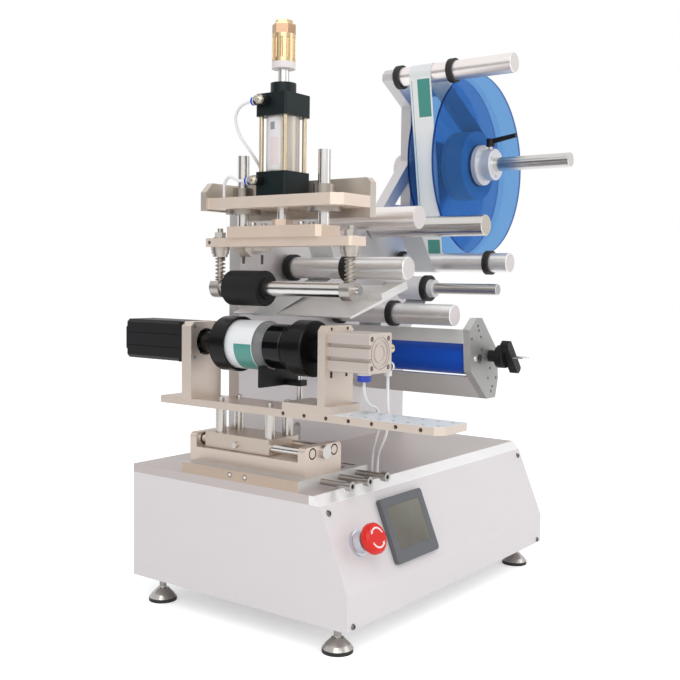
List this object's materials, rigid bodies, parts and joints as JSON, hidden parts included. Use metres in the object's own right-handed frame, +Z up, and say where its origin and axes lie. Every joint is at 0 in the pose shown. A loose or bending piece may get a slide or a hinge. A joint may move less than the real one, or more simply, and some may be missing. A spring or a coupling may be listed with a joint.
{
  "type": "tube labelling machine",
  "caption": "Bench tube labelling machine: a driven cup and a tail chuck turn a jar while a sprung roller presses on labels peeled from a web.",
  "frame": {"origin": "centre of the cabinet's footprint on the floor", "axes": "+X to the right along the operator side, +Y away from the operator, +Z up"},
  "size_m": [0.818, 0.5525, 0.838],
  "materials": {
    "air_elbows": "black fittings with a bright lock nut and screw",
    "cabinet_body": "smooth white powder coat",
    "carriage": "satin, with bright posts",
    "chrome_roller": "polished",
    "clamp_lever": "black",
    "cross_bar": "satin bar with steel bushings",
    "crosshead": "satin plate",
    "cylinder_barrel": "pale anodised tube",
    "cylinder_caps": "black anodised",
    "cylinder_plate": "satin plate",
    "dancer_roller": "anodised tube with black rings",
    "drive_cup": "black",
    "drive_motor": "black finned body",
    "estop_base": "bright collar",
    "estop_head": "glossy red",
    "guide_bearings": "nickel",
    "jar": "clear with a bare white label",
    "jar_lid": "glossy black",
    "jar_rest": "black plate on a steel post",
    "label_roll": "wound label web on a core",
    "label_web": "glossy white web with teal panels",
    "levelling_feet": "chrome dome on a black rubber pad",
    "locator_plate": "satin plate with steel bolts",
    "lower_air_tube": "clear tube",
    "main_wall": "satin plate",
    "motor_bracket": "satin plate",
    "nose_roller": "anodised tube with black rings",
    "peel_plate": "satin plate",
    "press_bracket": "satin plate",
    "press_guide_rods": "polished",
    "press_rod": "polished",
    "presser_roller": "black rubber",
    "presser_shaft": "polished",
    "presser_springs": "spring wire",
    "reel_discs": "clear blue acrylic",
    "reel_frame": "satin plate",
    "reel_spindle": "turned, with a white collar",
    "return_roller": "anodised tube with black rings",
    "rewind_shaft": "turned, with a black collar",
    "roller_shafts": "turned",
    "slide_base": "satin, with chrome rods",
    "spring_pins": "nickel",
    "stroke_sleeve": "polished brass over a white washer",
    "support_plate": "satin plate",
    "tail_bracket": "satin plate",
    "tail_chuck": "black",
    "tail_cylinder": "satin extrusion",
    "tail_fittings": "white, brass and black fittings",
    "tail_rod": "polished",
    "tail_tube_low": "clear tube",
    "tail_tube_side": "clear tube",
    "top_plate": "satin anodised",
    "top_roller": "anodised tube with black rings",
    "touch_panel": "dark grey bezel with a dim screen",
    "traction_covers": "satin",
    "traction_end_plate": "satin plate",
    "traction_roller": "blue rubber",
    "upper_air_tube": "clear tube",
    "white_roller": "anodised tube",
    "wing_knob": "black knob with a steel bar"
  },
  "bodies": {
    "machine": {"cabinet_body": "cabinet_body", "top_plate": "top_plate", "levelling_feet": "levelling_feet", "estop_base": "estop_base", "touch_panel": "touch_panel", "locator_plate": "locator_plate", "slide_base": "slide_base", "main_wall": "main_wall", "reel_frame": "reel_frame", "press_bracket": "press_bracket", "cylinder_plate": "cylinder_plate", "guide_bearings": "guide_bearings", "cylinder_caps": "cylinder_caps", "cylinder_barrel": "cylinder_barrel", "air_elbows": "air_elbows", "roller_shafts": "roller_shafts", "peel_plate": "peel_plate", "traction_end_plate": "traction_end_plate", "traction_covers": "traction_covers", "label_web": "label_web", "upper_air_tube": "upper_air_tube", "lower_air_tube": "lower_air_tube"},
    "estop": {"estop_head": "estop_head"},
    "carriage": {"carriage": "carriage", "support_plate": "support_plate", "motor_bracket": "motor_bracket", "drive_motor": "drive_motor", "tail_bracket": "tail_bracket", "tail_cylinder": "tail_cylinder", "tail_fittings": "tail_fittings", "jar_rest": "jar_rest", "tail_tube_side": "tail_tube_side", "tail_tube_low": "tail_tube_low"},
    "drive": {"drive_cup": "drive_cup", "jar": "jar", "jar_lid": "jar_lid"},
    "tail_rod": {"tail_rod": "tail_rod"},
    "tail_chuck": {"tail_chuck": "tail_chuck"},
    "press": {"press_rod": "press_rod", "stroke_sleeve": "stroke_sleeve", "press_guide_rods": "press_guide_rods", "crosshead": "crosshead", "cross_bar": "cross_bar", "presser_springs": "presser_springs"},
    "presser": {"spring_pins": "spring_pins", "presser_shaft": "presser_shaft"},
    "presser_roller": {"presser_roller": "presser_roller"},
    "reel": {"reel_discs": "reel_discs", "label_roll": "label_roll", "reel_spindle": "reel_spindle"},
    "reel_lever": {"clamp_lever": "clamp_lever"},
    "top_roller": {"top_roller": "top_roller"},
    "white_roller": {"white_roller": "white_roller"},
    "chrome_roller": {"chrome_roller": "chrome_roller"},
    "nose_roller": {"nose_roller": "nose_roller"},
    "dancer_roller": {"dancer_roller": "dancer_roller"},
    "return_roller": {"return_roller": "return_roller"},
    "traction": {"traction_roller": "traction_roller"},
    "nip": {"wing_knob": "wing_knob"},
    "rewind": {"rewind_shaft": "rewind_shaft"}
  },
  "joints": [
    {"name": "estop_press", "type": "slide", "parent": "machine", "child": "estop", "axis": [0, 0.9241, -0.3821], "range_m": [0, 0.005]},
    {"name": "carriage_slide", "type": "slide", "parent": "machine", "child": "carriage", "axis": [0, 1, 0], "range_m": [-0.0545, 0.0095]},
    {"name": "drive_spin", "type": "hinge", "parent": "carriage", "child": "drive", "pos_m": [-0.2075, 0.1065, 0.374], "axis": [0, 1, 0], "continuous": true},
    {"name": "tail_slide", "type": "slide", "parent": "carriage", "child": "tail_rod", "axis": [0, -1, 0], "range_m": [0, 0.01]},
    {"name": "tail_spin", "type": "hinge", "parent": "tail_rod", "child": "tail_chuck", "pos_m": [-0.2075, -0.0628, 0.374], "axis": [0, 1, 0], "continuous": true},
    {"name": "press_slide", "type": "slide", "parent": "machine", "child": "press", "axis": [0, 0, -1], "range_m": [0, 0.014]},
    {"name": "presser_float", "type": "slide", "parent": "press", "child": "presser", "axis": [0, 0, 1], "range_m": [0, 0.008], "stiffness_N_per_m": 3000, "springref_m": -0.006, "deforming": ["presser_springs"]},
    {"name": "presser_roller_spin", "type": "hinge", "parent": "presser", "child": "presser_roller", "pos_m": [-0.2075, 0.0595, 0.451], "axis": [0, 1, 0], "continuous": true},
    {"name": "reel_spin", "type": "hinge", "parent": "machine", "child": "reel", "pos_m": [0.384, -0.0095, 0.674], "axis": [0, 1, 0], "continuous": true},
    {"name": "lever_turn", "type": "hinge", "parent": "reel", "child": "reel_lever", "pos_m": [0.384, -0.0215, 0.702], "axis": [0, 0, 1], "range_deg": [-80, 80]},
    {"name": "top_roller_spin", "type": "hinge", "parent": "machine", "child": "top_roller", "pos_m": [0.23, -0.0095, 0.814], "axis": [0, 1, 0], "continuous": true},
    {"name": "white_roller_spin", "type": "hinge", "parent": "machine", "child": "white_roller", "pos_m": [-0.056, -0.0095, 0.551], "axis": [0, 1, 0], "continuous": true},
    {"name": "chrome_roller_spin", "type": "hinge", "parent": "machine", "child": "chrome_roller", "pos_m": [0.164, -0.0095, 0.552], "axis": [0, 1, 0], "continuous": true},
    {"name": "nose_roller_spin", "type": "hinge", "parent": "machine", "child": "nose_roller", "pos_m": [-0.058, -0.0095, 0.481], "axis": [0, 1, 0], "continuous": true},
    {"name": "dancer_roller_spin", "type": "hinge", "parent": "machine", "child": "dancer_roller", "pos_m": [0.249, -0.0095, 0.495], "axis": [0, 1, 0], "continuous": true},
    {"name": "return_roller_spin", "type": "hinge", "parent": "machine", "child": "return_roller", "pos_m": [0.062, -0.0095, 0.413], "axis": [0, 1, 0], "continuous": true},
    {"name": "traction_spin", "type": "hinge", "parent": "machine", "child": "traction", "pos_m": [0.102, -0.0095, 0.347], "axis": [0, 1, 0], "continuous": true},
    {"name": "nip_spin", "type": "hinge", "parent": "machine", "child": "nip", "pos_m": [0.135, -0.0095, 0.35], "axis": [0, 1, 0], "continuous": true},
    {"name": "rewind_spin", "type": "hinge", "parent": "machine", "child": "rewind", "pos_m": [0.207, -0.0095, 0.451], "axis": [0, 1, 0], "continuous": true}
  ],
  "couplings": [
    {"joint": "tail_spin", "follows": "drive_spin", "ratio": 1},
    {"joint": "nip_spin", "follows": "traction_spin", "ratio": -3.6571}
  ]
}
